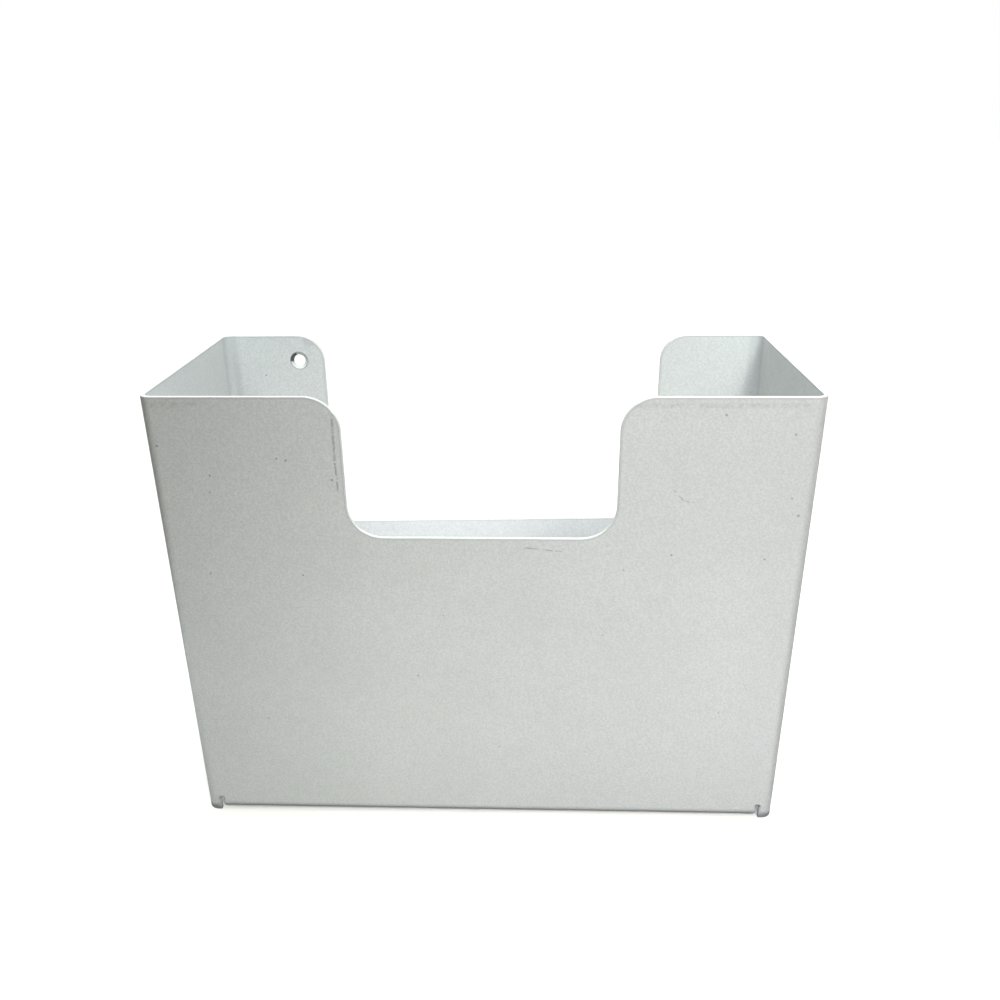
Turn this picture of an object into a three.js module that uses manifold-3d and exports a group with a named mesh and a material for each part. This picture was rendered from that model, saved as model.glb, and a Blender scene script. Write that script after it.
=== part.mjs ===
// Magazine file holder of folded sheet steel, in millimetres, +Z up.
// The origin is at the centre of the footprint, on the surface that the holder stands on.
// The notched front faces -Y, and the two rear ears face +Y.

import * as THREE from 'three';
import { mergeVertices } from 'three/addons/utils/BufferGeometryUtils.js';
import Module from 'manifold-3d';

const wasm = await Module();
wasm.setup();

// Driving dimensions.
const width = 320;
const depth = 127;
const height = 245;
const sheet = 2;
const bendOut = 6;
const bendIn = bendOut - sheet;

// U-shaped notch in the front panel.
const notchWidth = 131;
const notchDepth = 72;
const notchRadius = 17;

// Rear ears, and the one screw hole, which is concentric with its ear's rounded corner. It is countersunk
// at 90 degrees from the inside, so that the files slide past the screw's head.
const earWidth = 60;
const earRadius = 15;
const holeRadius = 3.4;
const sinkRadius = 5.2;
const holeInset = 15;

// Flanges bent inwards under the base. Each bend ends just short of the vertical bends.
const flangeReach = 18;
const frontFlange = 301.2;
const sideFlange = 108;
const rearFlange = 296;
const reliefWidth = 1.2;
const reliefHeight = 9;

// Base plate and low rear panel. The rear panel's top edge rises a little from left to right.
const baseWidth = 306;
const baseFront = -57;
const baseRear = 55;
const rearWidth = 307;
const rearTop = 127.3;
const rearRise = 5.4;

const arcSteps = 8;
const circleSteps = 40;
const weldTolerance = 1e-5;
const overshoot = 4;
const wallClear = 1;

const halfWidth = width / 2;
const halfDepth = depth / 2;
const earEdge = halfWidth - earWidth;
const rearFace = halfDepth - sheet;

const coat = { color: 0xc3c6c4, roughness: 0.55, metalness: 0.2 };

// Turns a closed geometry into a solid that can be joined and cut.
function solid(geometry) {
  geometry.deleteAttribute('normal');
  geometry.deleteAttribute('uv');
  const merged = mergeVertices(geometry, weldTolerance);
  return new wasm.Manifold(new wasm.Mesh({
    numProp: 3,
    vertProperties: Float32Array.from(merged.attributes.position.array),
    triVerts: Uint32Array.from(merged.index.array),
  }));
}

function namedMesh(name, body) {
  const result = body.getMesh();
  const geometry = new THREE.BufferGeometry();
  geometry.setAttribute('position', new THREE.BufferAttribute(result.vertProperties, 3));
  geometry.setIndex(new THREE.BufferAttribute(result.triVerts, 1));
  const faceted = geometry.toNonIndexed();
  faceted.computeVertexNormals();
  const mesh = new THREE.Mesh(faceted, new THREE.MeshStandardMaterial(coat));
  mesh.name = name;
  return mesh;
}

function box(low, high) {
  const geometry = new THREE.BoxGeometry(high[0] - low[0], high[1] - low[1], high[2] - low[2]);
  geometry.translate((low[0] + high[0]) / 2, (low[1] + high[1]) / 2, (low[2] + high[2]) / 2);
  return solid(geometry);
}

function extruded(shape, length) {
  return new THREE.ExtrudeGeometry(shape, {
    depth: length,
    bevelEnabled: false,
    curveSegments: arcSteps,
  });
}

// Extrudes an outline drawn in X and Z along +Y, from y = start to y = end.
function alongY(shape, start, end) {
  const geometry = extruded(shape, end - start);
  geometry.rotateX(Math.PI / 2);
  geometry.translate(0, end, 0);
  return solid(geometry);
}

// Plan of the wrapped sheet: rear ear, side, front, side, rear ear, with its true thickness.
function wrapPlan() {
  const x = halfWidth - bendOut;
  const y = halfDepth - bendOut;
  const plan = new THREE.Shape();
  plan.moveTo(earEdge, halfDepth);
  plan.lineTo(earEdge, rearFace);
  plan.absarc(x, y, bendIn, Math.PI / 2, 0, true);
  plan.absarc(x, -y, bendIn, 0, -Math.PI / 2, true);
  plan.absarc(-x, -y, bendIn, -Math.PI / 2, -Math.PI, true);
  plan.absarc(-x, y, bendIn, Math.PI, Math.PI / 2, true);
  plan.lineTo(-earEdge, rearFace);
  plan.lineTo(-earEdge, halfDepth);
  plan.absarc(-x, y, bendOut, Math.PI / 2, Math.PI, false);
  plan.absarc(-x, -y, bendOut, Math.PI, Math.PI * 1.5, false);
  plan.absarc(x, -y, bendOut, -Math.PI / 2, 0, false);
  plan.absarc(x, y, bendOut, 0, Math.PI / 2, false);
  plan.closePath();
  return plan;
}

// Notch outline in X and Z: rounded in at the bottom and rounded out at the rim.
function notchCutter() {
  const half = notchWidth / 2;
  const bottom = height - notchDepth;
  const outer = half + notchRadius;
  const inner = half - notchRadius;
  const rim = height - notchRadius;
  const floor = bottom + notchRadius;
  const outline = new THREE.Shape();
  outline.moveTo(-outer, height + overshoot);
  outline.absarc(-outer, rim, notchRadius, Math.PI / 2, 0, true);
  outline.absarc(-inner, floor, notchRadius, Math.PI, Math.PI * 1.5, false);
  outline.absarc(inner, floor, notchRadius, -Math.PI / 2, 0, false);
  outline.absarc(outer, rim, notchRadius, Math.PI, Math.PI / 2, true);
  outline.lineTo(outer, height + overshoot);
  outline.closePath();
  return alongY(outline, -halfDepth - overshoot, -halfDepth + sheet + overshoot);
}

// Takes the square corner off an ear's top inner edge. side is -1 for the left ear, 1 for the right.
function earCornerCutter(side) {
  const centre = earEdge + earRadius;
  const low = height - earRadius;
  const outline = new THREE.Shape();
  outline.moveTo(centre, height + overshoot);
  outline.absarc(centre, low, earRadius, Math.PI / 2, Math.PI, false);
  outline.lineTo(earEdge - overshoot, low);
  outline.lineTo(earEdge - overshoot, height + overshoot);
  outline.closePath();
  const cutter = alongY(outline, rearFace - overshoot, halfDepth + overshoot);
  return side < 0 ? cutter.mirror([1, 0, 0]) : cutter;
}

// Outline of half the hole, turned about its axis. The cone keeps its slope in front of the ear's inner face.
function earHoleCutter() {
  const sinkDepth = sinkRadius - holeRadius;
  const profile = [
    new THREE.Vector2(0, -overshoot),
    new THREE.Vector2(sinkRadius + overshoot, -overshoot),
    new THREE.Vector2(holeRadius, sinkDepth),
    new THREE.Vector2(holeRadius, sheet + overshoot),
    new THREE.Vector2(0, sheet + overshoot),
  ];
  const geometry = new THREE.LatheGeometry(profile, circleSteps);
  geometry.translate(-earEdge - holeInset, rearFace, height - holeInset);
  return solid(geometry);
}

// Section of a flange: down from the wall, round the bend and inwards. X runs inwards here.
function flangeSection() {
  const section = new THREE.Shape();
  section.moveTo(0, bendOut);
  section.absarc(bendOut, bendOut, bendOut, Math.PI, Math.PI * 1.5, false);
  section.lineTo(flangeReach, 0);
  section.lineTo(flangeReach, sheet);
  section.absarc(bendOut, bendOut, bendIn, Math.PI * 1.5, Math.PI, true);
  section.closePath();
  return section;
}

// A flange along X whose outer face is at y = 0 and which reaches inwards along +Y, ends mitred.
function flange(length) {
  const geometry = extruded(flangeSection(), length);
  geometry.rotateX(Math.PI / 2);
  geometry.rotateZ(Math.PI / 2);
  geometry.translate(-length / 2, 0, 0);
  const half = length / 2;
  const mitre = flangeReach - bendOut;
  const plan = new THREE.Shape();
  plan.moveTo(-half, -overshoot);
  plan.lineTo(half, -overshoot);
  plan.lineTo(half, bendOut);
  plan.lineTo(half - mitre, flangeReach);
  plan.lineTo(-half + mitre, flangeReach);
  plan.lineTo(-half, bendOut);
  plan.closePath();
  const trim = extruded(plan, bendOut + 2 * overshoot);
  trim.translate(0, 0, -overshoot);
  return solid(geometry).intersect(solid(trim));
}

// Clears a wall's lower edge for its flange: the strip of the bend, and a relief slot at each end with a
// round eye at its top.
function flangeClearance(length) {
  const half = length / 2;
  const back = sheet + wallClear;
  const eyeRadius = reliefWidth;
  const eyeHeight = reliefHeight - eyeRadius;
  let cutter = box([-half, -wallClear, -wallClear], [half, back, bendOut]);
  for (const side of [-1, 1]) {
    const centre = side * (half + reliefWidth / 2);
    const low = [centre - reliefWidth / 2, -wallClear, -wallClear];
    const high = [centre + reliefWidth / 2, back, eyeHeight];
    const eye = new THREE.CylinderGeometry(eyeRadius, eyeRadius, back + wallClear, arcSteps * 2);
    eye.translate(centre, sheet / 2, eyeHeight);
    cutter = cutter.add(box(low, high)).add(solid(eye));
  }
  return cutter;
}

// Places a solid made along X with its outer face at y = 0 onto one of the walls.
function onWall(body, angle, outerFace) {
  return body.rotate([0, 0, angle]).translate([
    outerFace * Math.round(Math.sin(THREE.MathUtils.degToRad(angle))),
    -outerFace * Math.round(Math.cos(THREE.MathUtils.degToRad(angle))),
    0,
  ]);
}

function frontAndSideShell() {
  let body = solid(extruded(wrapPlan(), height));
  body = body.subtract(notchCutter());
  body = body.subtract(earCornerCutter(-1)).subtract(earCornerCutter(1));
  body = body.subtract(earHoleCutter());
  const walls = [
    { angle: 0, face: halfDepth, length: frontFlange },
    { angle: 90, face: halfWidth, length: sideFlange },
    { angle: -90, face: halfWidth, length: sideFlange },
  ];
  for (const wall of walls) {
    body = body.subtract(onWall(flangeClearance(wall.length), wall.angle, wall.face));
    body = body.add(onWall(flange(wall.length), wall.angle, wall.face));
  }
  return namedMesh('front_and_side_shell', body);
}

function basePlate() {
  const half = baseWidth / 2;
  return namedMesh('base_plate', box([-half, baseFront, sheet], [half, baseRear, 2 * sheet]));
}

function rearPanel() {
  const half = rearWidth / 2;
  const flangeHalf = rearFlange / 2;
  const low = rearTop - rearRise / 2;
  const high = rearTop + rearRise / 2;
  const outline = new THREE.Shape();
  outline.moveTo(-half, reliefHeight);
  outline.lineTo(-flangeHalf, reliefHeight);
  outline.lineTo(-flangeHalf, bendOut);
  outline.lineTo(flangeHalf, bendOut);
  outline.lineTo(flangeHalf, reliefHeight);
  outline.lineTo(half, reliefHeight);
  outline.lineTo(half, high);
  outline.lineTo(-half, low);
  outline.closePath();
  const wall = alongY(outline, rearFace - sheet, rearFace);
  return namedMesh('rear_panel', wall.add(onWall(flange(rearFlange), 180, rearFace)));
}

const holder = new THREE.Group();
holder.add(frontAndSideShell());
holder.add(basePlate());
holder.add(rearPanel());

export default holder;
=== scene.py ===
"""Looks of the magazine file holder: three folded steel sheets in a fine silver-grey powder coat.

Each sheet is drawn as its flat pattern in millimetres, meshed there, and then folded to the shape that
the CAD model gives. u runs along the sheet, v across it, and the sheet's normal points out of its outer
face. Every edge has the soft rounding that a powder coat leaves.
"""

import math

import bpy
import numpy as np
from mathutils import Matrix, Vector
from mathutils import geometry as flat_geometry

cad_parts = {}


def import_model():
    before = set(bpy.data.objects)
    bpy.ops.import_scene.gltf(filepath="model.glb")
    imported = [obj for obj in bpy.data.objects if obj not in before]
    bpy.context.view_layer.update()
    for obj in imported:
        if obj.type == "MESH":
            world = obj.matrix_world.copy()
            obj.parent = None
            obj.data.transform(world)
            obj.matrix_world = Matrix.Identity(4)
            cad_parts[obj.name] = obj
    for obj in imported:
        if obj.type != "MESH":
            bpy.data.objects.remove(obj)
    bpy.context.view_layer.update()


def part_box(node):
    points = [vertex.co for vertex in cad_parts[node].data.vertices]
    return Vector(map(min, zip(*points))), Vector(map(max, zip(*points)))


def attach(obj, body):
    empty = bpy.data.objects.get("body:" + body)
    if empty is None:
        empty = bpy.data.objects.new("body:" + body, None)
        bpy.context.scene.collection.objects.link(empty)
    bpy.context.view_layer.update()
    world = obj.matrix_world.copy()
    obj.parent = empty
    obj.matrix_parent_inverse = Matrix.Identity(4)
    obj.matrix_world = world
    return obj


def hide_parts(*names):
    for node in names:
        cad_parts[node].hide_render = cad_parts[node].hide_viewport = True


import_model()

# A millimetre in metres.
MM = 0.001

# Outer sizes of the folded shell, from the CAD.
shell_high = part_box("front_and_side_shell")[1]
HALF_WIDTH = shell_high.x / MM
HALF_DEPTH = shell_high.y / MM
HEIGHT = shell_high.z / MM

# Sheet, bends and flanges, as in the CAD model. Bend radii are those of the sheet's middle layer.
HALF_SHEET = 1.0
BEND_RADIUS = 5.0
BEND_ARC = BEND_RADIUS * math.pi / 2
BEND_HEIGHT = BEND_RADIUS + HALF_SHEET
FLANGE_FLAT = 12.0
FRONT_FLANGE_HALF = 150.6
SIDE_FLANGE_HALF = 54.0
REAR_FLANGE_HALF = 148.0
BEND_END_V = BEND_HEIGHT - BEND_ARC
FLANGE_EDGE_V = BEND_END_V - FLANGE_FLAT
EAR_INNER_Y = HALF_DEPTH - 2 * HALF_SHEET

# Relief slots at the ends of the flanges' bends.
SLOT_WIDTH = 1.2
EYE_RADIUS = 1.2
EYE_HEIGHT = 7.8

# Front notch, rear ears and the countersunk screw hole.
NOTCH_HALF = 65.5
NOTCH_BOTTOM = HEIGHT - 72.0
NOTCH_RADIUS = 17.0
EAR_WIDTH = 60.0
EAR_RADIUS = 15.0
HOLE_RADIUS = 3.4
SINK_RADIUS = 5.2
HOLE_INSET = 15.0
HOLE_ROUNDING = 0.2

# Base plate and rear panel.
BASE_HALF_WIDTH = 153.0
BASE_FRONT = -57.0
BASE_REAR = 55.0
BASE_MIDDLE_Z = 3.0
REAR_HALF_WIDTH = 153.5
REAR_WALL_LOW = 9.0
REAR_TOP = 127.3
REAR_RISE = 5.4
REAR_MIDDLE_Y = EAR_INNER_Y - HALF_SHEET

# Spot welds: shallow round dimples where the electrodes pressed. WELD_FLAT is the flat share of the radius,
# WELD_RINGS are the mesh points, as (share of the radius, number of points), and other mesh points stay
# WELD_CLEARANCE radii away.
WELD_RADIUS = 3.0
WELD_DEPTH = 0.14
WELD_FLAT = 0.55
WELD_RINGS = ((0.3, 8), (0.55, 16), (0.68, 20), (0.8, 20), (0.9, 20), (1.0, 20), (1.35, 16))
WELD_CLEARANCE = 1.6
EAR_WELD_X = 127.0
EAR_WELD_Z = (28.0, 66.0, 104.0)
LONG_WELD_X = (-112.0, -38.0, 38.0, 112.0)
SIDE_WELD_Y = (-28.0, 28.0)
FLANGE_WELD_V = FLANGE_EDGE_V + FLANGE_FLAT / 2

# Rounding of the cut edges in section, and of the corners and slot mouths in outline.
EDGE_ROUNDING = 0.45
CORNER_ROUNDING = 0.9
MOUTH_ROUNDING = 0.6
ROUNDING_STEPS = 3

# Meshing: the grid's step, the steps of bends and arcs, the shortest straight part that is divided, and how
# far inner points stay from outlines and folds.
GRID_STEP = 9.0
BEND_STEPS = 12
GUARD_GAPS = (0.4, 1.4)
ARC_STEP = 1.2
ARC_TURN = math.radians(18)
SHORTEST_CROSSED = 2.5
EDGE_CLEARANCE = 1.3
FOLD_CLEARANCE = 5.0

# Tolerances. SAME_SHARE is a share of a segment, and the others are lengths.
SAME_SHARE = 1e-4
SLIVER_HEIGHT = 1e-4
MERGE_DISTANCE = 1e-5
SMALLEST_RADIUS = 1e-9

# Mesh attribute that tells the material how far a point is from the nearest cut edge, in millimetres.
EDGE_GAP = "edge_gap"

# Distances along the wrapped sheet from the middle of the front to the ends of each flat and bend.
FRONT_END = HALF_WIDTH - BEND_HEIGHT
SIDE_START = FRONT_END + BEND_ARC
SIDE_END = SIDE_START + 2 * (HALF_DEPTH - BEND_HEIGHT)
EAR_START = SIDE_END + BEND_ARC
EAR_END = EAR_START + EAR_WIDTH - BEND_HEIGHT
SIDE_MIDDLE = (SIDE_START + SIDE_END) / 2


# ---------------------------------------------------------------- outlines of the flat patterns

def arc(centre, radius, start, end):
    """Points on a circular arc from one angle to another, in degrees."""
    sweep = math.radians(abs(end - start))
    steps = max(math.ceil(radius * sweep / ARC_STEP), math.ceil(sweep / ARC_TURN))
    angles = np.radians(np.linspace(start, end, steps + 1))
    return [(centre[0] + radius * math.cos(a), centre[1] + radius * math.sin(a)) for a in angles]


def rounded(corners):
    """A closed outline from (u, v, radius) corners, where a radius of 0 keeps the corner."""
    points = []
    for i, (u, v, radius) in enumerate(corners):
        here = np.array((u, v))
        if radius == 0:
            points.append((u, v))
            continue
        before = np.array(corners[i - 1][:2]) - here
        after = np.array(corners[(i + 1) % len(corners)][:2]) - here
        before /= np.linalg.norm(before)
        after /= np.linalg.norm(after)
        half_angle = math.acos(float(np.clip(before @ after, -1, 1))) / 2
        middle = before + after
        centre = here + middle / np.linalg.norm(middle) * radius / math.sin(half_angle)
        start = here + before * radius / math.tan(half_angle) - centre
        end = here + after * radius / math.tan(half_angle) - centre
        first = math.degrees(math.atan2(start[1], start[0]))
        turn = math.degrees(math.atan2(start[0] * end[1] - start[1] * end[0], start @ end))
        points += arc(centre, radius, first, first + turn)
    return np.array(points)


def with_crossings(loop, columns, rows):
    """Adds points to a closed outline where it crosses a fold line, and along its long straight parts."""
    result = []
    for i, start in enumerate(loop):
        end = loop[(i + 1) % len(loop)]
        step = end - start
        shares = {0.0}
        for axis, lines in ((0, columns), (1, rows)):
            if abs(step[axis]) > SHORTEST_CROSSED:
                crossings = (lines - start[axis]) / step[axis]
                shares |= {float(s) for s in crossings if SAME_SHARE < s < 1 - SAME_SHARE}
        ordered = sorted(shares) + [1.0]
        for low, high in zip(ordered, ordered[1:]):
            length = (high - low) * float(np.linalg.norm(step))
            pieces = max(1, round(length / GRID_STEP))
            result += [start + step * (low + (high - low) * k / pieces) for k in range(pieces)]
    return np.array(result)


def mitres(loop):
    """For each outline point, the step into the material that moves both its edges inwards by 1."""
    forward = np.roll(loop, -1, axis=0) - loop
    forward /= np.linalg.norm(forward, axis=1)[:, None]
    left = np.stack((-forward[:, 1], forward[:, 0]), axis=1)
    before = np.roll(left, 1, axis=0)
    return (left + before) / (1 + np.sum(left * before, axis=1))[:, None]


def inside(points, loops):
    """Which points are inside the outer outline and outside its holes, by crossing counts."""
    odd = np.zeros(len(points), bool)
    for loop in loops:
        for a, b in zip(loop, np.roll(loop, -1, axis=0)):
            spans = (a[1] > points[:, 1]) != (b[1] > points[:, 1])
            rise = b[1] - a[1] if b[1] != a[1] else 1.0
            odd ^= spans & (points[:, 0] < a[0] + (points[:, 1] - a[1]) * (b[0] - a[0]) / rise)
    return odd


def distance_to(points, loops):
    """Distance from each point to the nearest outline."""
    nearest = np.full(len(points), np.inf)
    for loop in loops:
        for a, b in zip(loop, np.roll(loop, -1, axis=0)):
            along = np.clip((points - a) @ (b - a) / ((b - a) @ (b - a)), 0, 1)
            gap = points - a - along[:, None] * (b - a)
            nearest = np.minimum(nearest, np.linalg.norm(gap, axis=1))
    return nearest


# ---------------------------------------------------------------- folding

def bend_down(place, outward, along, v, bent):
    """Takes flat-pattern points below BEND_HEIGHT round a flange's bend and inwards under the base."""
    travel = np.where(bent, np.maximum(BEND_HEIGHT - v, 0), 0)
    angle = np.minimum(travel / BEND_RADIUS, math.pi / 2)
    inwards = BEND_RADIUS * (1 - np.cos(angle)) + np.maximum(travel - BEND_ARC, 0)
    height = np.where(travel > 0, BEND_HEIGHT - BEND_RADIUS * np.sin(angle), v)
    up = np.array((0.0, 0.0, 1.0))
    cosine, sine = np.cos(angle)[:, None], np.sin(angle)[:, None]
    points = place - outward * inwards[:, None] + up * height[:, None]
    return points, outward * cosine - up * sine, along, outward * sine + up * cosine


def fold_wrap(q):
    """Folds the shell: front, two sides and two rear ears, with flanges under the front and sides."""
    side, s = np.where(q[:, 0] < 0, -1.0, 1.0), np.abs(q[:, 0])
    y = HALF_DEPTH - HALF_SHEET
    first = np.clip((s - FRONT_END) / BEND_RADIUS, 0, math.pi / 2)
    second = np.clip((s - SIDE_END) / BEND_RADIUS, 0, math.pi / 2)
    turned = first + second
    px = np.minimum(s, FRONT_END) + BEND_RADIUS * (np.sin(first) - (1 - np.cos(second)))
    px -= np.maximum(s - EAR_START, 0)
    py = -y + BEND_RADIUS * (1 - np.cos(first)) + BEND_RADIUS * np.sin(second)
    py += np.clip(s, SIDE_START, SIDE_END) - SIDE_START
    zero = np.zeros(len(q))
    place = np.stack((side * px, py, zero), axis=1)
    outward = np.stack((side * np.sin(turned), -np.cos(turned), zero), axis=1)
    along = np.stack((np.cos(turned), side * np.sin(turned), zero), axis=1)
    reach = SLOT_WIDTH / 2
    bent = (s < FRONT_FLANGE_HALF + reach) | (np.abs(s - SIDE_MIDDLE) < SIDE_FLANGE_HALF + reach)
    return bend_down(place, outward, along, q[:, 1], bent)


def fold_rear(q):
    """Folds the rear panel: a low wall in front of the ears, with a flange under the base."""
    zero = np.zeros(len(q))
    place = np.stack((-q[:, 0], zero + REAR_MIDDLE_Y, zero), axis=1)
    outward = np.stack((zero, zero + 1, zero), axis=1)
    along = np.stack((zero - 1, zero, zero), axis=1)
    return bend_down(place, outward, along, q[:, 1], q[:, 1] < BEND_HEIGHT)


def fold_base(q):
    """The base plate stays flat."""
    zero = np.zeros(len(q))
    axes = [np.tile(row, (len(q), 1)) for row in np.eye(3)]
    return np.stack((q[:, 0], q[:, 1], zero + BASE_MIDDLE_Z), axis=1), axes[2], axes[0], axes[1]


# ---------------------------------------------------------------- edges and welds

def edge_profile():
    """Cut edge in section: (inset, offset, outward part of the normal, its part along the sheet's)."""
    turns = [math.pi / 2 * k / ROUNDING_STEPS for k in range(ROUNDING_STEPS + 1)]
    upper = [
        (EDGE_ROUNDING * (1 - math.sin(t)), HALF_SHEET - EDGE_ROUNDING * (1 - math.cos(t)),
         math.sin(t), math.cos(t))
        for t in turns
    ]
    return upper + [(inset, -offset, out, -up) for inset, offset, out, up in reversed(upper)]


def countersunk_profile():
    """Edge of the screw hole in section, with its 90 degree cone towards the inner face.

    The first three points round the hole's outer edge, the next two are the cone's flat flank, and the
    last two round its edge at the inner face.
    """
    slope = math.sqrt(0.5)
    cone = SINK_RADIUS - HOLE_RADIUS
    start = HALF_SHEET - HOLE_ROUNDING
    return [
        (HOLE_ROUNDING, HALF_SHEET, 0.0, 1.0),
        (HOLE_ROUNDING * (1 - slope), HALF_SHEET - HOLE_ROUNDING * (1 - slope), slope, slope),
        (0.0, start, 1.0, 0.0),
        (0.03, start - 0.05, slope, -slope),
        (cone - 0.12, -HALF_SHEET + 0.17, slope, -slope),
        (cone + 0.02, -HALF_SHEET + 0.06, 0.38, -0.92),
        (cone + HOLE_ROUNDING, -HALF_SHEET, 0.0, -1.0),
    ]


def dimpled(q, welds):
    """Depth of the weld dimples at each point, and its slope along u and v."""
    depth, slope = np.zeros(len(q)), np.zeros((len(q), 2))
    flat = WELD_FLAT * WELD_RADIUS
    run = WELD_RADIUS - flat
    for weld in welds:
        away = q - np.array(weld)
        radius = np.maximum(np.linalg.norm(away, axis=1), SMALLEST_RADIUS)
        t = np.clip((radius - flat) / run, 0, 1)
        depth += WELD_DEPTH * (1 - t * t * (3 - 2 * t))
        change = -WELD_DEPTH * 6 * t * (1 - t) / run
        slope += (change / radius)[:, None] * away
    return depth, slope


def weld_points(welds):
    """Rings of mesh points that carry each dimple's shape."""
    points = []
    for u, v in welds:
        points.append((u, v))
        for share, count in WELD_RINGS:
            turns = np.linspace(0, 2 * math.pi, count, endpoint=False)
            radius = share * WELD_RADIUS
            points += [(u + radius * math.cos(t), v + radius * math.sin(t)) for t in turns]
    return np.array(points).reshape(-1, 2)


# ---------------------------------------------------------------- one sheet as a mesh

def fill_points(loops, columns, rows, row_spans, welds):
    """Mesh points inside the outline: fold columns, fold rows, and a coarse grid between them."""
    low, high = loops[0].min(axis=0), loops[0].max(axis=0)
    heights = np.arange(low[1] + GRID_STEP / 2, high[1], GRID_STEP)
    sets = [np.array([(u, v) for u in columns for v in heights]).reshape(-1, 2)]
    for start, end in row_spans:
        places = np.linspace(start, end, max(2, round((end - start) / GRID_STEP)) + 1)[1:-1]
        sets.append(np.array([(u, v) for u in places for v in rows]).reshape(-1, 2))
    grid = np.array([
        (u, v) for u in np.arange(low[0] + GRID_STEP / 2, high[0], GRID_STEP) for v in heights
    ])
    for axis, lines in ((0, columns), (1, rows)):
        if len(lines):
            gaps = np.min(np.abs(grid[:, axis][:, None] - lines[None, :]), axis=1)
            grid = grid[gaps > FOLD_CLEARANCE]
    sets.append(grid)
    points = np.concatenate(sets)
    for weld in welds:
        points = points[np.linalg.norm(points - np.array(weld), axis=1) > WELD_CLEARANCE * WELD_RADIUS]
    points = np.concatenate((points, weld_points(welds)))
    points = points[inside(points, loops)]
    return points[distance_to(points, loops) > EDGE_CLEARANCE]


def triangulated(loops, points):
    """Triangles between the outlines and through the points. The outlines' points come first.

    Slivers between points that lie in line on an outline are left out.
    """
    coords = np.concatenate([*loops, points])
    edges, first = [], 0
    for loop in loops:
        count = len(loop)
        edges += [(first + k, first + (k + 1) % count) for k in range(count)]
        first += count
    result = flat_geometry.delaunay_2d_cdt([Vector(c) for c in coords], edges, [], 0, MERGE_DISTANCE)
    made = np.array([tuple(v) for v in result[0]])
    back = np.array([origin[0] for origin in result[3]])
    assert len(made) == len(coords), "the outline's points are too close together"
    faces = np.array([list(face) for face in result[2]])
    centres = made[faces].mean(axis=1)
    kept = inside(centres, loops) & (distance_to(centres, loops) > SLIVER_HEIGHT)
    return coords, back[faces[kept]]


class FoldedSheet:
    """Collects one folded sheet's points, their normals and distances from a cut edge, and its faces."""

    def __init__(self, fold):
        self.fold = fold
        self.points = []
        self.normals = []
        self.edge_gaps = []
        self.faces = []

    def add(self, q, gap, offset, outward, upward, direction):
        """Adds flat-pattern points at an offset from the sheet's middle, and gives the first one's index.

        gap is the distance from the cut edge. The normal is upward times the sheet's own, plus outward
        times a direction in the sheet.
        """
        start = sum(len(p) for p in self.points)
        self.edge_gaps.append(np.zeros(len(q)) + gap)
        place, normal, along, across = self.fold(q)
        self.points.append(place + normal * np.reshape(offset, (-1, 1)))
        tilt = normal * np.reshape(upward, (-1, 1))
        tilt = tilt + along * direction[:, :1] * outward + across * direction[:, 1:] * outward
        self.normals.append(tilt / np.linalg.norm(tilt, axis=1)[:, None])
        return start

    def add_side(self, loops, rims, lines, facing, welds):
        """Adds one side of the sheet with its dimples, and gives the index where each rim starts."""
        q, triangles = triangulated(rims, fill_points(rims, *lines, welds))
        depth, slope = dimpled(q, welds)
        gap = distance_to(q, loops)
        start = self.add(q, gap, facing * (HALF_SHEET - depth), 1.0, facing, facing * slope)
        order = 1 if facing > 0 else -1
        self.faces += [tuple(t[::order] + start) for t in triangles]
        counts = np.cumsum([0] + [len(loop) for loop in loops])
        return [start + int(c) for c in counts]

    def add_edge(self, loop, step, profile, outer_rim, inner_rim):
        """Joins the two sides' rims round one outline, through the rings of its edge profile."""
        direction = -step / np.linalg.norm(step, axis=1)[:, None]
        rings = [outer_rim]
        for inset, offset, outward, upward in profile[1:-1]:
            rings.append(self.add(loop + step * inset, 0.0, offset, outward, upward, direction))
        rings.append(inner_rim)
        count = len(loop)
        for high, low in zip(rings, rings[1:]):
            for i in range(count):
                j = (i + 1) % count
                self.faces.append((high + i, low + i, low + j, high + j))

    def as_object(self, name):
        """The finished mesh in an object of its own, with the edge distances as an attribute."""
        mesh = bpy.data.meshes.new(name)
        points = [tuple(p * MM) for p in np.concatenate(self.points)]
        mesh.from_pydata(points, [], [tuple(map(int, f)) for f in self.faces])
        mesh.validate()
        mesh.shade_smooth()
        gaps = mesh.attributes.new(EDGE_GAP, "FLOAT", "POINT")
        gaps.data.foreach_set("value", np.concatenate(self.edge_gaps))
        mesh.normals_split_custom_set_from_vertices([tuple(n) for n in np.concatenate(self.normals)])
        piece = bpy.data.objects.new(name, mesh)
        bpy.context.scene.collection.objects.link(piece)
        return piece


def sheet_piece(name, node, fold, loops, profiles, columns=(), rows=(), row_spans=(), welds=()):
    """Builds one folded sheet as a closed mesh that stands for a CAD node. welds are on its outer side."""
    columns, rows = np.array(columns, float), np.array(rows, float)
    loops = [with_crossings(loop, columns, rows) for loop in loops]
    steps = [mitres(loop) for loop in loops]
    sheet = FoldedSheet(fold)
    sides = []
    for facing, end, side_welds in ((1.0, 0, welds), (-1.0, -1, ())):
        rims = [loop + step * profile[end][0] for loop, step, profile in zip(loops, steps, profiles)]
        sides.append(sheet.add_side(loops, rims, (columns, rows, row_spans), facing, side_welds))
    outer, inner = sides
    for k, (loop, step, profile) in enumerate(zip(loops, steps, profiles)):
        sheet.add_edge(loop, step, profile, outer[k], inner[k])
    piece = sheet.as_object(name)
    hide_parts(node)
    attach(piece, "root")
    return piece


def bend_lines(start, end):
    """Fold lines across a bend, with guard lines beside it that keep its shading off the flats."""
    folds = [start + (end - start) * k / BEND_STEPS for k in range(BEND_STEPS + 1)]
    before = [start - gap for gap in reversed(GUARD_GAPS)]
    return before + folds + [end + gap for gap in GUARD_GAPS]


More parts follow.
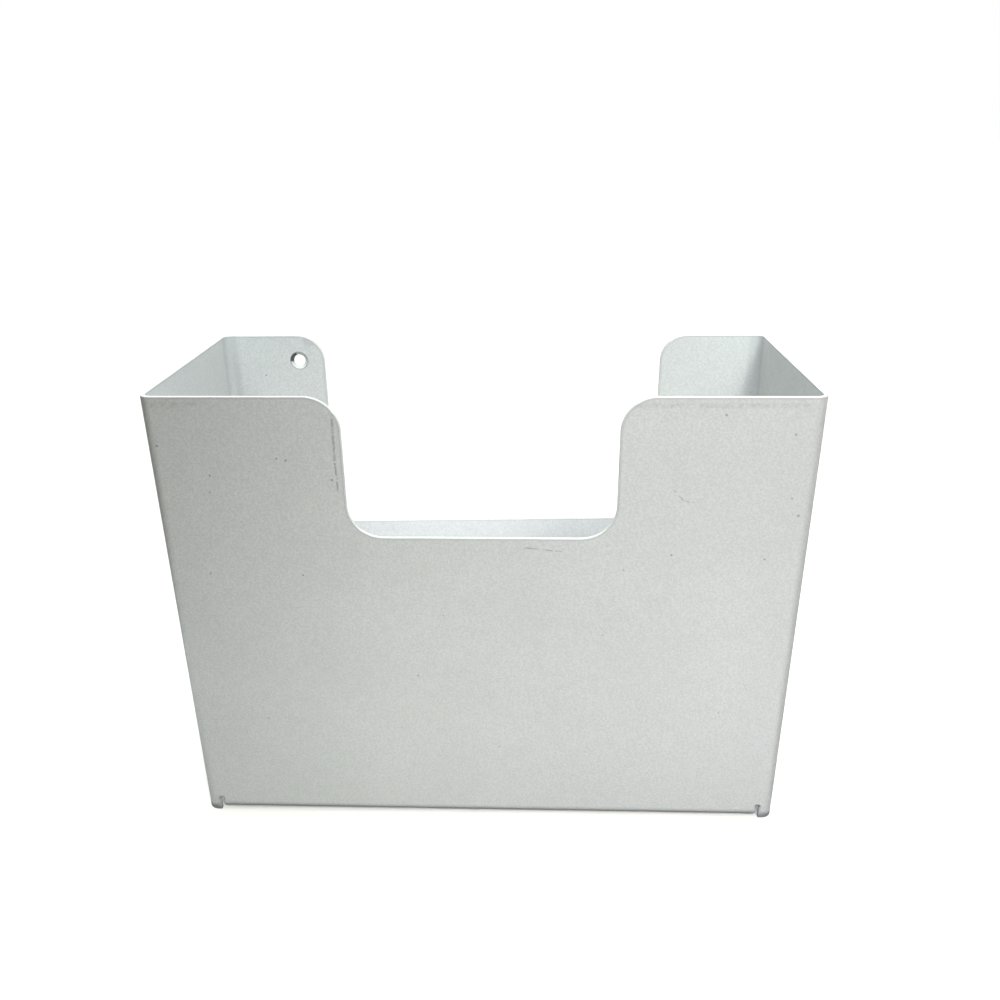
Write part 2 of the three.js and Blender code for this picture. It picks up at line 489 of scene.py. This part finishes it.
def relief_slot(left, start_v, end_v):
    """Corners of one slot, entered at its left edge at start_v and left at its right edge at end_v."""
    middle = left + SLOT_WIDTH / 2
    opening = math.degrees(math.asin(SLOT_WIDTH / 2 / EYE_RADIUS))
    eye = arc((middle, EYE_HEIGHT), EYE_RADIUS, 270 - opening, -90 + opening)
    corners = [(left, start_v, MOUTH_ROUNDING if start_v == 0 else 0)]
    corners += [(u, v, 0) for u, v in eye]
    corners.append((left + SLOT_WIDTH, end_v, MOUTH_ROUNDING if end_v == 0 else 0))
    return corners


def flange_corners(middle, half):
    """Outline of a flange with a relief slot at each end, from left to right along the lower edge."""
    left, right = middle - half, middle + half
    corners = relief_slot(left - SLOT_WIDTH, 0, BEND_END_V)
    corners.append((left + FLANGE_FLAT, FLANGE_EDGE_V, CORNER_ROUNDING))
    corners.append((right - FLANGE_FLAT, FLANGE_EDGE_V, CORNER_ROUNDING))
    return corners + relief_slot(right, BEND_END_V, 0)


def shell_piece():
    """The wrapped sheet: notched front, both sides, both rear ears and the three flanges under them."""
    corners = [(-EAR_END, 0, CORNER_ROUNDING)]
    corners += flange_corners(-SIDE_MIDDLE, SIDE_FLANGE_HALF)
    corners += flange_corners(0, FRONT_FLANGE_HALF)
    corners += flange_corners(SIDE_MIDDLE, SIDE_FLANGE_HALF)
    corners += [
        (EAR_END, 0, CORNER_ROUNDING),
        (EAR_END, HEIGHT, EAR_RADIUS),
        (NOTCH_HALF, HEIGHT, NOTCH_RADIUS),
        (NOTCH_HALF, NOTCH_BOTTOM, NOTCH_RADIUS),
        (-NOTCH_HALF, NOTCH_BOTTOM, NOTCH_RADIUS),
        (-NOTCH_HALF, HEIGHT, NOTCH_RADIUS),
        (-EAR_END, HEIGHT, EAR_RADIUS),
    ]
    centre = (-EAR_END + HOLE_INSET, HEIGHT - HOLE_INSET)
    hole = np.array(arc(centre, HOLE_RADIUS, 360, 0)[:-1])
    bends = bend_lines(FRONT_END, SIDE_START) + bend_lines(SIDE_END, EAR_START)
    columns = [side * u for side in (-1, 1) for u in bends]
    spans = [
        (-FRONT_FLANGE_HALF, FRONT_FLANGE_HALF),
        (SIDE_MIDDLE - SIDE_FLANGE_HALF, SIDE_MIDDLE + SIDE_FLANGE_HALF),
        (-SIDE_MIDDLE - SIDE_FLANGE_HALF, -SIDE_MIDDLE + SIDE_FLANGE_HALF),
    ]
    ear_u = EAR_START + FRONT_END - EAR_WELD_X
    welds = [(side * ear_u, z) for side in (-1, 1) for z in EAR_WELD_Z]
    welds += [(x, FLANGE_WELD_V) for x in LONG_WELD_X]
    welds += [(side * (SIDE_MIDDLE + y), FLANGE_WELD_V) for side in (-1, 1) for y in SIDE_WELD_Y]
    return sheet_piece(
        "shell", "front_and_side_shell", fold_wrap, [rounded(corners), hole],
        [edge_profile(), countersunk_profile()], columns, bend_lines(BEND_END_V, BEND_HEIGHT), spans, welds,
    )


def rear_piece():
    """The low rear panel, with a sloping top edge and a flange under its middle."""
    rise = REAR_RISE / 2
    corners = [
        (-REAR_HALF_WIDTH, REAR_WALL_LOW, CORNER_ROUNDING),
        (-REAR_FLANGE_HALF, REAR_WALL_LOW, CORNER_ROUNDING),
        (-REAR_FLANGE_HALF, BEND_END_V, 0),
        (-REAR_FLANGE_HALF + FLANGE_FLAT, FLANGE_EDGE_V, CORNER_ROUNDING),
        (REAR_FLANGE_HALF - FLANGE_FLAT, FLANGE_EDGE_V, CORNER_ROUNDING),
        (REAR_FLANGE_HALF, BEND_END_V, 0),
        (REAR_FLANGE_HALF, REAR_WALL_LOW, CORNER_ROUNDING),
        (REAR_HALF_WIDTH, REAR_WALL_LOW, CORNER_ROUNDING),
        (REAR_HALF_WIDTH, REAR_TOP - rise, CORNER_ROUNDING),
        (-REAR_HALF_WIDTH, REAR_TOP + rise, CORNER_ROUNDING),
    ]
    welds = [(x, FLANGE_WELD_V) for x in LONG_WELD_X]
    return sheet_piece(
        "rear_wall", "rear_panel", fold_rear, [rounded(corners)], [edge_profile()],
        (), bend_lines(BEND_END_V, BEND_HEIGHT), [(-REAR_FLANGE_HALF, REAR_FLANGE_HALF)], welds,
    )


def base_piece():
    """The flat base plate, which lies on all four flanges and is welded to them."""
    corners = [
        (-BASE_HALF_WIDTH, BASE_FRONT, CORNER_ROUNDING),
        (BASE_HALF_WIDTH, BASE_FRONT, CORNER_ROUNDING),
        (BASE_HALF_WIDTH, BASE_REAR, CORNER_ROUNDING),
        (-BASE_HALF_WIDTH, BASE_REAR, CORNER_ROUNDING),
    ]
    inset = BEND_HEIGHT + FLANGE_FLAT / 2
    front_y, rear_y = -HALF_DEPTH + inset, EAR_INNER_Y - inset
    side_x = HALF_WIDTH - inset
    welds = [(x, y) for x in LONG_WELD_X for y in (front_y, rear_y)]
    welds += [(side * side_x, y) for side in (-1, 1) for y in SIDE_WELD_Y]
    return sheet_piece(
        "floor_plate", "base_plate", fold_base, [rounded(corners)], [edge_profile()], welds=welds,
    )


# ---------------------------------------------------------------- powder coat

# The coat's colours, those of its marks and those of its painted shade, linear.
COAT_LOW = (0.657, 0.665, 0.661, 1)
COAT_HIGH = (0.683, 0.688, 0.685, 1)
COAT_SHADE = (0.500, 0.506, 0.506, 1)
# Painted shade for the inner rear bends.
CREASE_SHADE_COLOUR = (0.440, 0.452, 0.462, 1)
# Painted shade for the foot and the relief slots.
FOOT_SHADE_COLOUR = (0.20, 0.20, 0.23, 1)
DARK_MARK = (0.16, 0.16, 0.17, 1)
SMUDGE = (0.36, 0.33, 0.30, 1)
# Painted shade for a sector of the countersink's cone.
CONE_SHADE_COLOUR = (0.085, 0.09, 0.11, 1)

# Noise scales, in waves per metre.
GRAIN_SCALE = 980.0
MOTTLE_SCALE = 130.0
CLOUD_SCALE = 14.0
BREAK_SCALE = 420.0
PEEL_SCALE = 520.0
# Noise that frays the sides of the painted shade on the countersink's cone.
CONE_SHADE_EDGE_SCALE = 900.0

# How strongly each layer covers the coat below it, from 0 to 1.
MOTTLE_SHARE = 0.08
GRAIN_SHARE = 0.64
# The next four shares are those of painted shade: along the cut edges, in the rear bends, at the foot and
# in the relief slots.
EDGE_SHADE_SHARE = 0.7
CREASE_SHADE_SHARE = 0.38
FOOT_SHADE_SHARE = 0.9
SLOT_SHADE_SHARE = 0.5
SMUDGE_SHARE = 0.3
SCUFF_SHARE = 0.55
SPECK_SHARE = 0.6
# Share of the painted shade at the countersink's edge.
HOLE_SHADE_SHARE = 0.55

# Where each noise's pattern starts and is full.
SOFT_RANGE = (0.3, 0.7)
GRAIN_RANGE = (0.33, 0.67)
BREAK_RANGE = (0.36, 0.60)

# Where the masks of painted shade fade by place, in metres from the origin, or from the axis of the hole or
# bend.
FOOT_Z = (1.2 * MM, 4.6 * MM)
SLOT_Z = (9.5 * MM, 11.0 * MM)
OUTER_X = ((HALF_WIDTH - 5.5) * MM, (HALF_WIDTH - 4.0) * MM)
OUTER_Y = ((HALF_DEPTH - 5.5) * MM, (HALF_DEPTH - 4.0) * MM)
EAR_Y = ((EAR_INNER_Y - 1.5) * MM, (EAR_INNER_Y - 0.5) * MM)
REAR_HALF_Y = (30.0 * MM, 50.0 * MM)
CREASE_RADIUS = ((BEND_RADIUS - HALF_SHEET) * MM, (BEND_RADIUS + 0.6) * MM)
CONE_EDGE = ((SINK_RADIUS - 0.1) * MM, (SINK_RADIUS + 0.1) * MM)
HOLE_SHADE_GAP = (0.08 * MM, 0.5 * MM)

# Where the masks of painted shade along the cut edges and in the relief slots fade by their distance from
# the nearest cut edge, in millimetres.
LINE_START_GAP = (0.2, 0.5)
LINE_END_GAP = (0.8, 1.4)
SLOT_SHADE_GAP = (0.3, 0.7)

# Full core of a round spot, a stroke and a scattered speck, as a share of the radius or half width.
SPOT_CORE = 0.4
STROKE_CORE = 0.2
SPECK_CORE = 0.3

# The countersink's sector of painted shade: its direction in degrees up from +X, the cosines from there at
# which it starts and is full, and how ragged its sides are.
CONE_SHADE_HEADING = 148.0
CONE_SHADE_COSINES = (0.82, 0.92)
CONE_SHADE_RAGGED = 0.2

# Gloss and relief. The bump's distance is in metres.
COAT_METALLIC = 0.15
ROUGHNESS_LOW = 0.50
ROUGHNESS_HIGH = 0.60
SCUFF_POLISH = 0.12
GRAIN_RELIEF = 0.35
SPECK_RELIEF = 0.8
BUMP_DISTANCE = 0.00005
BUMP_STRENGTH = 0.5

# Marks on the holder's front in millimetres: specks as (x, z, radius), and scuffs and smudges as lines
# from one (x, z) to another, each with its half width.
FRONT_SPECKS = (
    (-71.5, 203.6, 0.9), (-90.6, 151.9, 0.8), (-153.9, 220.7, 0.9), (148.0, 195.0, 0.7),
    (152.0, 186.0, 1.0), (146.0, 227.0, 0.8), (93.0, 164.5, 0.8), (-35.2, 92.4, 0.7),
    (61.0, 118.3, 0.6), (-118.0, 64.0, 0.7), (124.0, 71.0, 0.6), (7.5, 47.0, 0.6),
    (-97.3, 214.5, 0.8), (-93.0, 213.6, 0.9), (-130.5, 205.6, 0.8), (-131.6, 197.0, 0.6),
    (-137.6, 152.5, 0.8), (113.4, 236.5, 0.9), (70.0, 156.0, 0.7), (138.5, 162.5, 0.8),
)
SCUFFS = (
    ((21.0, 168.0), (27.5, 167.3), 0.7), ((30.0, 167.0), (34.5, 166.5), 0.6),
    ((36.5, 166.3), (39.0, 166.0), 0.5), ((-69.0, 236.0), (-69.4, 214.0), 0.9),
    ((-69.4, 212.0), (-69.0, 198.0), 0.75), ((92.0, 199.0), (97.0, 193.5), 0.45),
    ((97.0, 193.5), (103.0, 192.5), 0.45),
)
SMUDGES = (((-155.0, 241.0), (-133.0, 241.2), 2.0), ((72.0, 241.0), (150.0, 240.8), 1.8))

# Marks inside the holder, as (x, y, z, radius): one on an ear, one under the rim of a front corner.
INNER_SPECKS = ((-136.0, 61.5, 221.0, 0.8), (-157.8, -57.5, 242.3, 1.3))

# Specks all over, as (size of a cell, radius, share of the cells that hold one), in millimetres.
SCATTERED_SPECKS = ((23.0, 0.7, 0.45), (9.0, 0.5, 0.35))


class Nodes:
    """Short calls for building a node tree. Each gives an output socket, except add and feed."""

    def __init__(self, tree):
        self.tree = tree

    def add(self, kind, inputs=None, **settings):
        """A new node with its inputs set or linked."""
        node = self.tree.nodes.new(kind)
        for key, value in settings.items():
            setattr(node, key, value)
        for key, value in (inputs or {}).items():
            self.feed(node.inputs[key], value)
        return node

    def feed(self, socket, value):
        """Links an output socket to an input, or sets the input's own value."""
        if isinstance(value, bpy.types.NodeSocket):
            self.tree.links.new(value, socket)
        else:
            socket.default_value = value

    def math(self, operation, a, b=0.0, clamp=False):
        return self.add("ShaderNodeMath", {0: a, 1: b}, operation=operation, use_clamp=clamp).outputs[0]

    def product(self, a, b):
        return self.math("MULTIPLY", a, b)

    def vector(self, operation, a, b=(0, 0, 0)):
        """A vector made from one or two others."""
        return self.add("ShaderNodeVectorMath", {0: a, 1: b}, operation=operation).outputs["Vector"]

    def measure(self, operation, a, b=(0, 0, 0)):
        """A number made from one or two vectors."""
        return self.add("ShaderNodeVectorMath", {0: a, 1: b}, operation=operation).outputs["Value"]

    def scaled(self, vector, factor):
        inputs = {0: vector, "Scale": factor}
        return self.add("ShaderNodeVectorMath", inputs, operation="SCALE").outputs["Vector"]

    def part(self, vector, axis):
        """One coordinate of a vector."""
        return self.add("ShaderNodeSeparateXYZ", {0: vector}).outputs[axis]

    def object_place(self):
        return self.add("ShaderNodeTexCoord").outputs["Object"]

    def noise(self, vector, scale, detail=2.0, roughness=0.5):
        inputs = {"Vector": vector, "Scale": scale, "Detail": detail, "Roughness": roughness}
        return self.add("ShaderNodeTexNoise", inputs).outputs["Fac"]

    def ramp(self, value, limits, start, end):
        """Runs smoothly from start to end while the value runs from the lower limit to the higher one."""
        low, high = limits
        inputs = {"Value": value, "From Min": low, "From Max": high, "To Min": start, "To Max": end}
        return self.add("ShaderNodeMapRange", inputs, interpolation_type="SMOOTHSTEP").outputs["Result"]

    def rise(self, value, limits, top=1.0):
        return self.ramp(value, limits, 0.0, top)

    def fall(self, value, limits, top=1.0):
        return self.ramp(value, limits, top, 0.0)

    def mix(self, share, a, b):
        """Colour a, covered by a share of colour b."""
        node = self.add("ShaderNodeMix", {0: share}, data_type="RGBA")
        self.feed(node.inputs[6], a)
        self.feed(node.inputs[7], b)
        return node.outputs[2]

    def highest(self, values):
        """The largest of several masks."""
        result = values[0]
        for value in values[1:]:
            result = self.math("MAXIMUM", result, value)
        return result

    def spot(self, place, centre, radius):
        """A round mask about a point."""
        away = self.measure("DISTANCE", place, centre)
        return self.fall(away, (radius * SPOT_CORE, radius))

    def stroke(self, place, start, end, width):
        """A mask along a line between two points, which fades out at width to either side."""
        run = Vector(end) - Vector(start)
        away = self.vector("SUBTRACT", place, start)
        share = self.measure("DOT_PRODUCT", away, tuple(run / run.length_squared))
        share = self.math("MULTIPLY", share, 1.0, clamp=True)
        gap = self.measure("DISTANCE", away, self.scaled(tuple(run), share))
        return self.fall(gap, (width * STROKE_CORE, width))


def new_material(name):
    """A new material, with the tools for its nodes and its shader."""
    material = bpy.data.materials.new(name)
    material.use_nodes = True
    return material, Nodes(material.node_tree), material.node_tree.nodes["Principled BSDF"]


def on_front(x, z):
    """A point on the outer face of the holder's front, in metres."""
    return (x * MM, -HALF_DEPTH * MM, z * MM)


def scattered_specks(n, place, cell, radius, share):
    """Small round inclusions in the coat, in a given share of cells of a given size, in millimetres."""
    cells = n.add("ShaderNodeTexVoronoi", {"Vector": place, "Scale": 1 / (cell * MM), "Randomness": 0.9})
    draw = n.add("ShaderNodeSeparateColor", {0: cells.outputs["Color"]}).outputs[0]
    chosen = n.math("LESS_THAN", draw, share)
    round_mask = n.fall(cells.outputs["Distance"], (SPECK_CORE * radius / cell, radius / cell))
    return n.product(chosen, round_mask)


def hole_shading(n, place):
    """Painted shade in the screw hole: a dark ring at the countersink's edge, and a dark sector of its
    cone.
    """
    centre = (-(HALF_WIDTH - EAR_WIDTH + HOLE_INSET) * MM, 0, (HEIGHT - HOLE_INSET) * MM)
    away = n.vector("SUBTRACT", n.vector("MULTIPLY", place, (1, 0, 1)), centre)
    radius = n.measure("LENGTH", away)
    on_ear = n.rise(n.part(place, "Y"), EAR_Y)
    off_edge = n.math("ABSOLUTE", n.math("SUBTRACT", radius, SINK_RADIUS * MM))
    ring_shade = n.product(n.fall(off_edge, HOLE_SHADE_GAP, HOLE_SHADE_SHARE), on_ear)
    heading = math.radians(CONE_SHADE_HEADING)
    shade_way = (math.cos(heading), 0, math.sin(heading))
    toward = n.measure("DOT_PRODUCT", n.vector("NORMALIZE", away), shade_way)
    ragged = n.math("ADD", toward, n.product(n.noise(place, CONE_SHADE_EDGE_SCALE), CONE_SHADE_RAGGED))
    cone_shade = n.product(n.rise(ragged, CONE_SHADE_COSINES), n.fall(radius, CONE_EDGE))
    return ring_shade, n.product(cone_shade, on_ear)


def edge_and_crease_shade(n, place, edge_gap):
    """Masks of painted shade: a dark line just inside each cut edge, where the rounded edges turn from the
    light, and darker inner rear bends.
    """
    line = n.product(n.rise(edge_gap, LINE_START_GAP), n.fall(edge_gap, LINE_END_GAP))
    level = n.vector("MULTIPLY", n.vector("ABSOLUTE", place), (1, 1, 0))
    bend_axis = ((HALF_WIDTH - BEND_HEIGHT) * MM, (HALF_DEPTH - BEND_HEIGHT) * MM, 0)
    from_axis = n.measure("DISTANCE", level, bend_axis)
    behind = n.rise(n.part(place, "Y"), REAR_HALF_Y)
    return line, n.product(n.fall(from_axis, CREASE_RADIUS), behind)


def bottom_shade(n, place, edge_gap):
    """Painted shade on the outside of the holder's foot, where its bends turn under, and in the relief
    slots.
    """
    height = n.part(place, "Z")
    mirrored = n.vector("ABSOLUTE", place)
    outer = n.highest([n.rise(n.part(mirrored, "X"), OUTER_X), n.rise(n.part(mirrored, "Y"), OUTER_Y)])
    foot = n.product(n.fall(height, FOOT_Z, FOOT_SHADE_SHARE), outer)
    slots = n.product(n.fall(edge_gap, SLOT_SHADE_GAP, SLOT_SHADE_SHARE), n.fall(height, SLOT_Z))
    return n.highest([foot, slots])


def all_specks(n, place):
    """One mask for the specks seen in the photo and those scattered over the rest."""
    spots = [(on_front(x, z), radius) for x, z, radius in FRONT_SPECKS]
    spots += [((x * MM, y * MM, z * MM), radius) for x, y, z, radius in INNER_SPECKS]
    masks = [n.spot(place, centre, radius * MM) for centre, radius in spots]
    masks += [scattered_specks(n, place, *specks) for specks in SCATTERED_SPECKS]
    return n.highest(masks)


def front_strokes(n, place, strokes):
    """One mask for several strokes on the holder's front."""
    return n.highest([
        n.stroke(place, on_front(*start), on_front(*end), width * MM) for start, end, width in strokes
    ])


def powder_coat():
    """Satin silver-grey powder coat: orange peel, a grain of metal flakes, specks, scuffs and smudges, with
    painted shade along the cut edges, in the inner rear bends, at the foot and in the screw hole.
    """
    material, n, shader = new_material("powder_coat")
    place = n.object_place()
    edge_gap = n.add("ShaderNodeAttribute", attribute_name=EDGE_GAP).outputs["Fac"]
    grain = n.noise(place, GRAIN_SCALE, 3.0, 0.7)
    mottle = n.noise(place, MOTTLE_SCALE, 4.0, 0.55)
    cloud = n.noise(place, CLOUD_SCALE)
    base = n.mix(n.rise(cloud, SOFT_RANGE), COAT_LOW, COAT_HIGH)
    base = n.mix(n.rise(mottle, SOFT_RANGE, MOTTLE_SHARE), base, COAT_SHADE)
    base = n.mix(n.rise(grain, GRAIN_RANGE, GRAIN_SHARE), base, COAT_SHADE)
    # Painted shade: a dark line just inside each cut edge, and darker inner rear bends.
    edge_shade_line, crease_shade = edge_and_crease_shade(n, place, edge_gap)
    base = n.mix(n.product(edge_shade_line, EDGE_SHADE_SHARE), base, COAT_SHADE)
    base = n.mix(n.product(crease_shade, CREASE_SHADE_SHARE), base, CREASE_SHADE_COLOUR)
    # Painted shade: a darker foot and darker relief slots.
    base = n.mix(bottom_shade(n, place, edge_gap), base, FOOT_SHADE_COLOUR)

    broken = n.rise(n.noise(place, BREAK_SCALE, 3.0, 0.6), BREAK_RANGE)
    specks = all_specks(n, place)
    scuffs = front_strokes(n, place, SCUFFS)
    smudges = front_strokes(n, place, SMUDGES)
    hole_ring_shade, cone_shade = hole_shading(n, place)
    base = n.mix(n.product(smudges, n.product(broken, SMUDGE_SHARE)), base, SMUDGE)
    base = n.mix(n.product(scuffs, n.product(broken, SCUFF_SHARE)), base, DARK_MARK)
    base = n.mix(n.product(specks, SPECK_SHARE), base, DARK_MARK)
    # Painted shade in the screw hole: a dark ring at the countersink's edge and a dark sector on its cone.
    base = n.mix(hole_ring_shade, base, DARK_MARK)
    base = n.mix(cone_shade, base, CONE_SHADE_COLOUR)
    n.feed(shader.inputs["Base Color"], base)

    rough = n.ramp(mottle, SOFT_RANGE, ROUGHNESS_LOW, ROUGHNESS_HIGH)
    n.feed(shader.inputs["Roughness"], n.math("SUBTRACT", rough, n.product(scuffs, SCUFF_POLISH)))
    shader.inputs["Metallic"].default_value = COAT_METALLIC
    peel = n.noise(place, PEEL_SCALE)
    height = n.math("ADD", n.product(grain, GRAIN_RELIEF), peel)
    height = n.math("SUBTRACT", height, n.product(specks, SPECK_RELIEF))
    relief = {"Height": height, "Distance": BUMP_DISTANCE, "Strength": BUMP_STRENGTH}
    n.feed(shader.inputs["Normal"], n.add("ShaderNodeBump", relief).outputs["Normal"])
    return material


# ---------------------------------------------------------------- stage, camera and light

# The camera at the photograph's viewing angle: place, lens and sensor in millimetres, angles in degrees.
CAMERA_PLACE = (23.83, -456.61, 362.97)
CAMERA_YAW = 2.145
CAMERA_PITCH = 23.295
CAMERA_ROLL = -0.597
CAMERA_LENS = 32.044
CAMERA_SENSOR = 36.0

# The floor's reach in metres, its colours, and the even light that keeps it pale.
FLOOR_REACH = 12.0
FLOOR_LOW = (0.86, 0.86, 0.86, 1)
FLOOR_HIGH = (0.90, 0.90, 0.90, 1)
FLOOR_GLOW = 0.16
WHITE = (1, 1, 1, 1)

# Each light's name, place, target, size in metres, spread in degrees, power in watts and colour. The two
# keys stand in one line, the far one narrowed by a grid. The low and side lights stand for the light off
# the table, and the over and inner ones for the light that falls in and is thrown about between the walls.
LIGHTS = (
    ("key_near", (0.1679, -0.3900, 0.5464), (0, 0, 0.1225), 0.138, 180, 1.32, (0.955, 1.015, 1.07)),
    ("key_far", (0.3357, -0.7800, 0.9703), (0.12, -0.06, 0.22), 0.276, 40, 0.302, (1.06, 0.98, 0.90)),
    ("low_right", (0.2, -0.25, 0.0), (0.1, -0.06, 0.12), 0.2, 180, 0.204, (0.96, 1.02, 1.06)),
    ("low_far", (0.2, -0.5, 0.15), (0.1, -0.06, 0.12), 0.2, 180, 0.078, (0.99, 1.02, 0.97)),
    ("low_middle", (0, -0.25, 0.0), (0, -0.06, 0.12), 0.2, 180, 0.094, (0.99, 1.02, 0.97)),
    ("low_left", (-0.1, -0.25, 0.0), (-0.05, -0.06, 0.12), 0.2, 180, 0.106, (0.95, 1.03, 1.00)),
    ("side_left", (-0.3, -0.1, 0.03), (-0.16, -0.05, 0.03), 0.1, 180, 0.079, (0.95, 1.02, 1.05)),
    ("over_left", (-0.2, 0, 0.38), (-0.14, 0.06, 0.15), 0.1, 180, 0.178, (0.82, 1.05, 1.12)),
    ("over_right", (0.2, 0, 0.38), (0.14, 0.06, 0.15), 0.1, 180, 0.233, (0.82, 1.05, 1.04)),
    ("inner_left", (-0.07, -0.03, 0.125), (-0.07, 0.06, 0.125), 0.05, 180, 0.028, (0.97, 1.00, 1.10)),
    ("inner_middle", (0.0, -0.03, 0.125), (0.0, 0.06, 0.125), 0.05, 180, 0.0143, (0.97, 1.00, 1.10)),
    ("inner_right", (0.07, -0.03, 0.125), (0.07, 0.06, 0.125), 0.05, 180, 0.022, (0.97, 1.00, 1.10)),
)

# Soft light from the surroundings: the heading where it is brightest, and its colour there.
SKY = (((0, 0, 1), (1.42, 1.39, 1.15)), ((0, 1, 0.3), (1.54, 1.69, 1.80)))


def camera():
    """A camera that looks along +Y, turned left by the yaw, tilted down by the pitch, and then rolled."""
    yaw, pitch, roll = (math.radians(angle) for angle in (CAMERA_YAW, CAMERA_PITCH, CAMERA_ROLL))
    data = bpy.data.cameras.new("camera")
    data.sensor_width = CAMERA_SENSOR
    data.lens = CAMERA_LENS
    data.clip_start = 0.02
    data.clip_end = 50.0
    right = Vector((1, 0, 0))
    ahead = Vector((0, math.cos(pitch), -math.sin(pitch)))
    up = Vector((0, math.sin(pitch), math.cos(pitch)))
    turned_right = math.cos(roll) * right + math.sin(roll) * up
    turned_up = -math.sin(roll) * right + math.cos(roll) * up
    turn = Matrix.Rotation(yaw, 3, "Z")
    axes = Matrix((turn @ turned_right, turn @ turned_up, -(turn @ ahead))).transposed()
    view = bpy.data.objects.new("camera", data)
    view.matrix_world = Matrix.Translation(Vector(CAMERA_PLACE) * MM) @ axes.to_4x4()
    bpy.context.scene.collection.objects.link(view)
    bpy.context.scene.camera = view


def floor():
    """A plain pale floor. It catches the contact shadow and sends no light back."""
    reach = FLOOR_REACH
    corners = [(-reach, -reach, 0), (reach, -reach, 0), (reach, reach, 0), (-reach, reach, 0)]
    mesh = bpy.data.meshes.new("studio_floor")
    mesh.from_pydata(corners, [], [(0, 1, 2, 3)])
    ground = bpy.data.objects.new("studio_floor", mesh)
    ground.visible_diffuse = False
    ground.visible_glossy = False
    ground.visible_shadow = False
    bpy.context.scene.collection.objects.link(ground)
    material, n, shader = new_material("studio_floor")
    tone = n.noise(n.object_place(), 6.0, 3.0)
    n.feed(shader.inputs["Base Color"], n.mix(tone, FLOOR_LOW, FLOOR_HIGH))
    shader.inputs["Roughness"].default_value = 0.9
    shader.inputs["Specular IOR Level"].default_value = 0.1
    shader.inputs["Emission Color"].default_value = WHITE
    shader.inputs["Emission Strength"].default_value = FLOOR_GLOW
    mesh.materials.append(material)


def area_light(name, place, target, size, spread, power, colour):
    """A square soft light at a place, facing a target. A spread below 180 degrees narrows it."""
    data = bpy.data.lights.new(name, "AREA")
    data.size = size
    data.spread = math.radians(spread)
    data.energy = power
    data.color = colour
    lamp = bpy.data.objects.new(name, data)
    lamp.location = place
    lamp.visible_camera = False
    lamp.rotation_mode = "QUATERNION"
    lamp.rotation_quaternion = (Vector(place) - Vector(target)).to_track_quat("Z", "Y")
    bpy.context.scene.collection.objects.link(lamp)


def world():
    """Soft light from above and from behind, in front of a white background."""
    studio = bpy.data.worlds.new("studio")
    studio.use_nodes = True
    n = Nodes(studio.node_tree)
    heading = n.add("ShaderNodeTexCoord").outputs["Generated"]
    lobes = []
    for axis, colour in SKY:
        dot = n.measure("DOT_PRODUCT", heading, tuple(Vector(axis).normalized()))
        lobes.append(n.scaled(colour, n.math("POWER", n.math("MAXIMUM", dot, 0.0), 2.0)))
    total = n.vector("ADD", *lobes)
    seen = n.add("ShaderNodeLightPath").outputs["Is Camera Ray"]
    n.feed(n.tree.nodes["Background"].inputs["Color"], n.mix(seen, total, WHITE))
    bpy.context.scene.world = studio


# ---------------------------------------------------------------- the whole scene

coat = powder_coat()
for piece in (shell_piece(), rear_piece(), base_piece()):
    piece.data.materials.append(coat)

camera()
floor()
for light in LIGHTS:
    area_light(*light)
world()
bpy.context.scene.view_settings.view_transform = "Standard"
